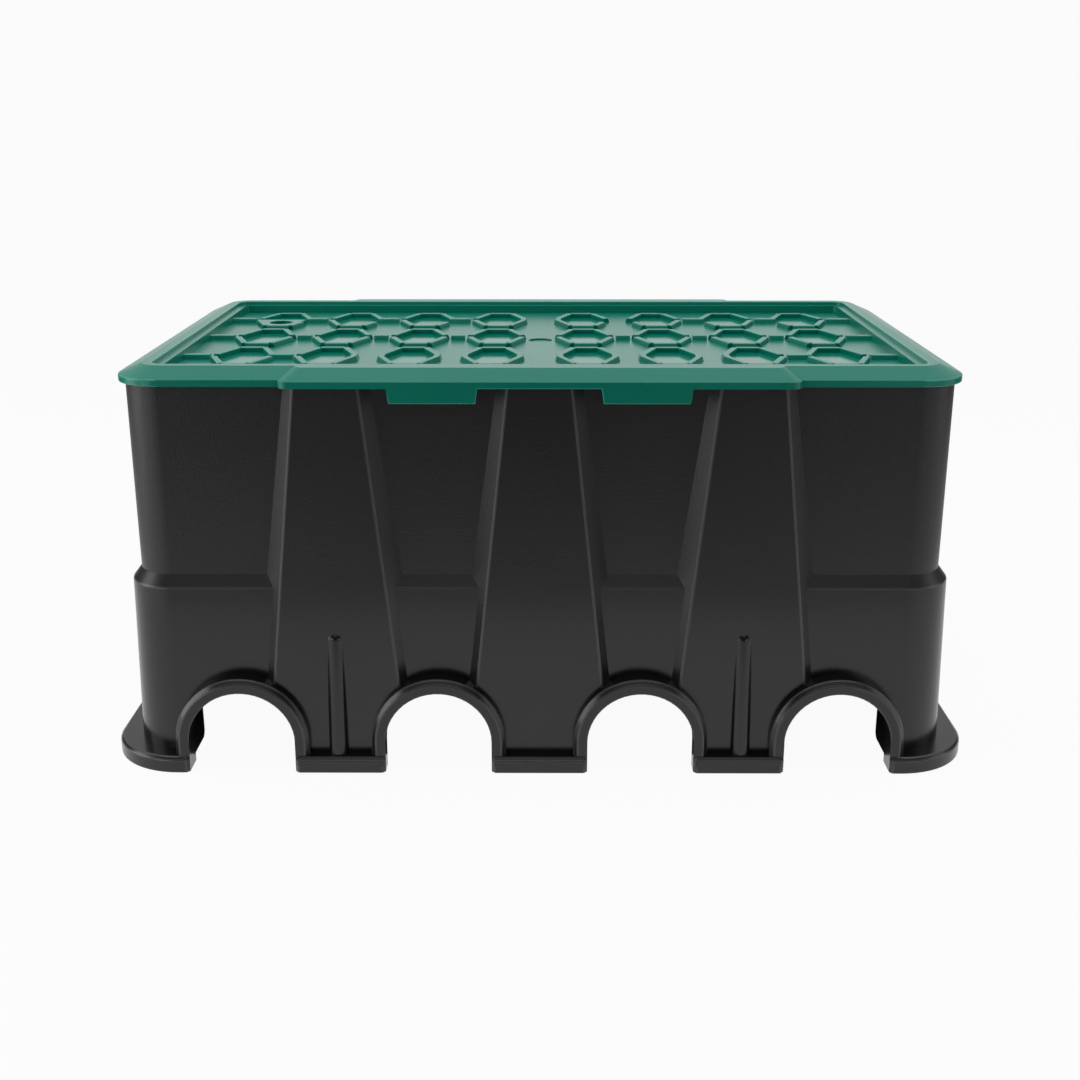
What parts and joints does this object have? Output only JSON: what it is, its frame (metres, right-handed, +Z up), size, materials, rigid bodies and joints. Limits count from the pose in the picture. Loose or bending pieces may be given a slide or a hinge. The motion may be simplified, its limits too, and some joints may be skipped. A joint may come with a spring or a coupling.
{
  "type": "irrigation valve box",
  "caption": "Rectangular ground box with tapered pilasters, arched pipe openings and a foot flange, under a lift-off lid with an octagon tread.",
  "frame": {"origin": "on the ground, under the middle of the box", "axes": "+X along the long side, +Y from the front to the back, +Z up"},
  "size_m": [0.676, 0.426, 0.3115],
  "materials": {
    "black_plastic": "fine moulded grain, satin",
    "green_plastic": "satin"
  },
  "bodies": {
    "box": {"box_body": "black_plastic"},
    "lid": {"lid": "green_plastic"}
  },
  "joints": [
    {"name": "lid_lift", "type": "slide", "parent": "box", "child": "lid", "axis": [0, 0, 1], "range_m": [0, 0.08]}
  ]
}
